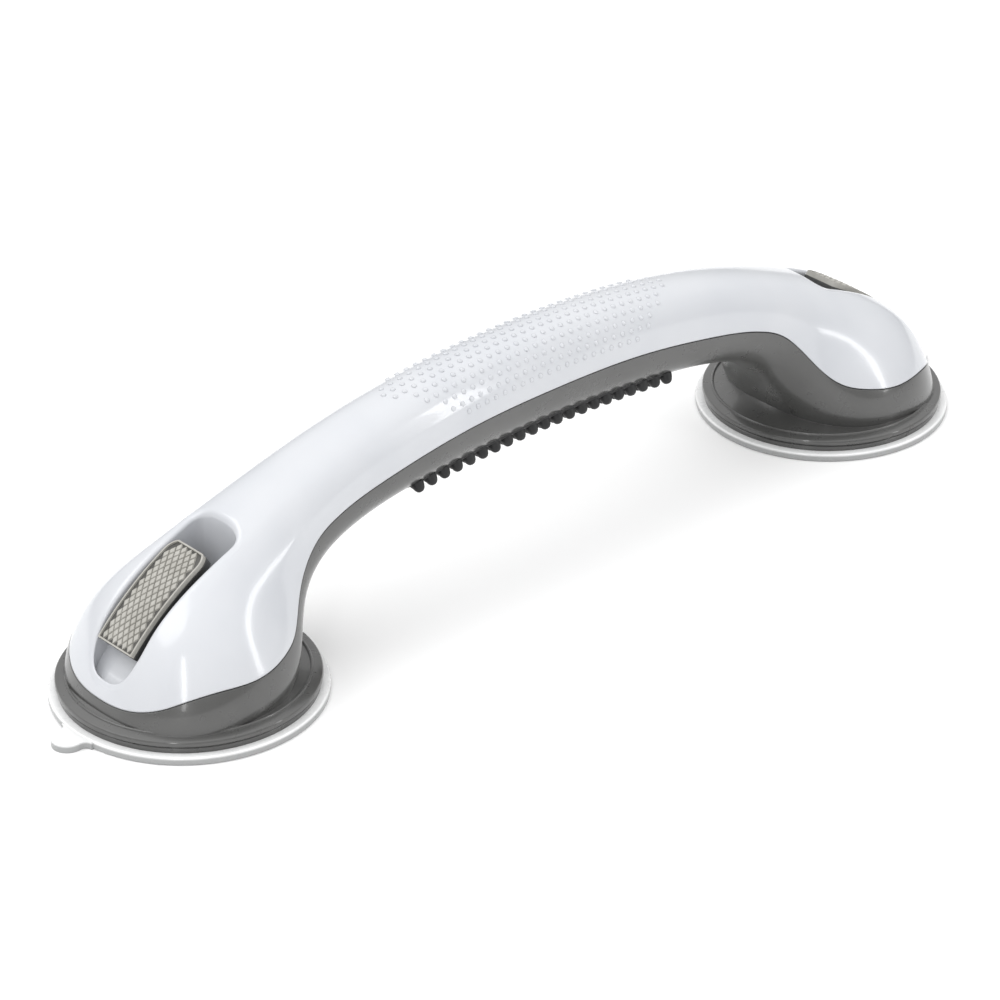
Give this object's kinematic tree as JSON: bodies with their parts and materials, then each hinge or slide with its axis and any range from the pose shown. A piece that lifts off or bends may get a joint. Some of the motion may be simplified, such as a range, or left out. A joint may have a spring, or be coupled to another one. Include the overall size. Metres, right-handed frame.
{
  "type": "suction grab bar",
  "caption": "Arched two-shell grab bar held on a smooth wall by suction cups; flip levers draw the cups' membranes and lock them.",
  "frame": {"origin": "half-way between the two cup axes, on the wall plane that the cups seal on", "axes": "+X along the bar, +Z away from the wall, Y across the bar; the bar is symmetric about XZ and YZ"},
  "size_m": [0.4314, 0.098, 0.088],
  "materials": {
    "white_shell": "moulded gloss",
    "grey_shell": "satin gloss",
    "black_rubber": "matt",
    "clear_rubber": "soft, slightly milky",
    "white_nylon": "natural",
    "dark_lever": "satin",
    "lever_pad": "soft touch, diamond grooves",
    "steel": "zinc plated"
  },
  "bodies": {
    "housing": {"top_cover": "white_shell", "lower_housing": "grey_shell", "grip_strip": "black_rubber", "grip_screws": "steel", "base_plate_left": "grey_shell", "base_screws_left": "steel", "cam_washer_left": "white_nylon", "suction_cup_left": "clear_rubber", "base_plate_right": "grey_shell", "base_screws_right": "steel", "cam_washer_right": "white_nylon", "suction_cup_right": "clear_rubber"},
    "draw_stem_left": {"stem_left": "white_nylon", "lift_disc_left": "steel"},
    "lock_lever_left": {"lever_left": "dark_lever", "lever_pad_left": "lever_pad", "pivot_pin_left": "steel"},
    "draw_stem_right": {"stem_right": "white_nylon", "lift_disc_right": "steel"},
    "lock_lever_right": {"lever_right": "dark_lever", "lever_pad_right": "lever_pad", "pivot_pin_right": "steel"}
  },
  "joints": [
    {"name": "stem_slide_left", "type": "slide", "parent": "housing", "child": "draw_stem_left", "axis": [0, 0, -1], "range_m": [0, 0.004], "deforming": ["suction_cup_left"]},
    {"name": "lever_hinge_left", "type": "hinge", "parent": "draw_stem_left", "child": "lock_lever_left", "pos_m": [-0.1572, 0, 0.04], "axis": [0, 1, 0], "range_deg": [0, 80]},
    {"name": "stem_slide_right", "type": "slide", "parent": "housing", "child": "draw_stem_right", "axis": [0, 0, -1], "range_m": [0, 0.004], "deforming": ["suction_cup_right"]},
    {"name": "lever_hinge_right", "type": "hinge", "parent": "draw_stem_right", "child": "lock_lever_right", "pos_m": [0.1572, 0, 0.04], "axis": [0, -1, 0], "range_deg": [0, 80]}
  ],
  "couplings": [
    {"joint": "lever_hinge_left", "follows": "stem_slide_left", "rad_per_m": 349},
    {"joint": "lever_hinge_right", "follows": "stem_slide_right", "rad_per_m": 349}
  ]
}
